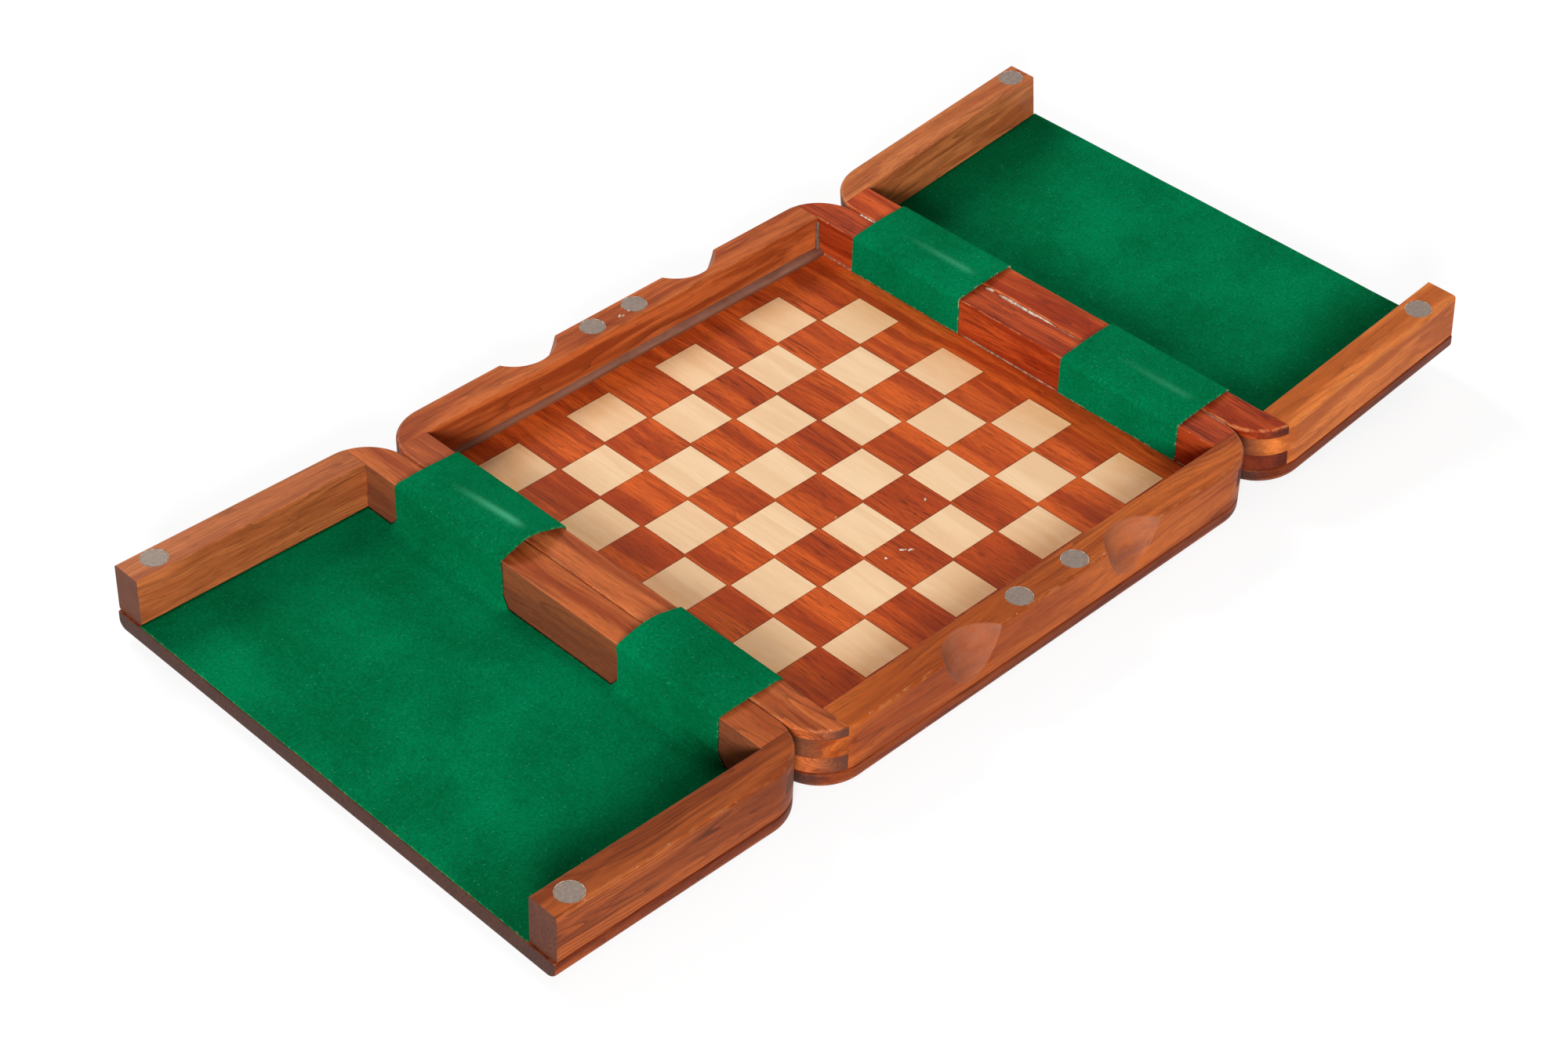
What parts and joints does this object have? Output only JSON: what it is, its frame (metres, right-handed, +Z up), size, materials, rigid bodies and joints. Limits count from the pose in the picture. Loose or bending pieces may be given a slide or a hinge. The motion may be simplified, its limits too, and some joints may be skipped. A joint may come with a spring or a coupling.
{
  "type": "folding travel chess set",
  "caption": "Folding travel chess box lying open: a rosewood tray that carries an inlaid chessboard, and a lid sawn into two velvet-lined doors on cloth strap hinges, held shut by magnets.",
  "frame": {"origin": "centre of the tray's flat underside", "axes": "+X towards the right door, +Y towards the far player's side, +Z up out of the open tray"},
  "size_m": [0.3569, 0.1776, 0.0294],
  "materials": {
    "rail_rosewood": "satin varnish, golden brown with fine dark streaks",
    "panel_rosewood": "satin varnish, dark red-brown",
    "board_rosewood": "satin varnish, red-brown veneer",
    "maple_inlay": "satin varnish, pale cream inlay",
    "magnet_face": "bare sintered magnet, ground flush, dull grey",
    "green_velvet": "short-pile cotton velvet on a woven back, green"
  },
  "bodies": {
    "tray": {"tray_bottom_board": "panel_rosewood", "tray_far_rail": "rail_rosewood", "tray_near_rail": "rail_rosewood", "tray_left_rail": "rail_rosewood", "tray_right_rail": "rail_rosewood", "chessboard": "board_rosewood", "maple_square_b1": "maple_inlay", "maple_square_d1": "maple_inlay", "maple_square_f1": "maple_inlay", "maple_square_h1": "maple_inlay", "maple_square_a2": "maple_inlay", "maple_square_c2": "maple_inlay", "maple_square_e2": "maple_inlay", "maple_square_g2": "maple_inlay", "maple_square_b3": "maple_inlay", "maple_square_d3": "maple_inlay", "maple_square_f3": "maple_inlay", "maple_square_h3": "maple_inlay", "maple_square_a4": "maple_inlay", "maple_square_c4": "maple_inlay", "maple_square_e4": "maple_inlay", "maple_square_g4": "maple_inlay", "maple_square_b5": "maple_inlay", "maple_square_d5": "maple_inlay", "maple_square_f5": "maple_inlay", "maple_square_h5": "maple_inlay", "maple_square_a6": "maple_inlay", "maple_square_c6": "maple_inlay", "maple_square_e6": "maple_inlay", "maple_square_g6": "maple_inlay", "maple_square_b7": "maple_inlay", "maple_square_d7": "maple_inlay", "maple_square_f7": "maple_inlay", "maple_square_h7": "maple_inlay", "maple_square_a8": "maple_inlay", "maple_square_c8": "maple_inlay", "maple_square_e8": "maple_inlay", "maple_square_g8": "maple_inlay", "tray_magnet_far_left": "magnet_face", "tray_magnet_far_right": "magnet_face", "tray_magnet_near_left": "magnet_face", "tray_magnet_near_right": "magnet_face", "hinge_strap_left_far": "green_velvet", "hinge_strap_left_near": "green_velvet", "hinge_strap_right_far": "green_velvet", "hinge_strap_right_near": "green_velvet"},
    "left_door": {"left_door_panel": "panel_rosewood", "left_door_hinge_rail": "rail_rosewood", "left_door_far_rail": "rail_rosewood", "left_door_near_rail": "rail_rosewood", "left_door_lining": "green_velvet", "left_door_magnet_far": "magnet_face", "left_door_magnet_near": "magnet_face"},
    "right_door": {"right_door_panel": "panel_rosewood", "right_door_hinge_rail": "rail_rosewood", "right_door_far_rail": "rail_rosewood", "right_door_near_rail": "rail_rosewood", "right_door_lining": "green_velvet", "right_door_magnet_far": "magnet_face", "right_door_magnet_near": "magnet_face"}
  },
  "joints": [
    {"name": "left_door_hinge", "type": "hinge", "parent": "tray", "child": "left_door", "pos_m": [-0.0888, 0, 0.0214], "axis": [0, 1, 0], "range_deg": [0, 178.2]},
    {"name": "right_door_hinge", "type": "hinge", "parent": "tray", "child": "right_door", "pos_m": [0.0888, 0, 0.0214], "axis": [0, -1, 0], "range_deg": [0, 174.3]}
  ]
}
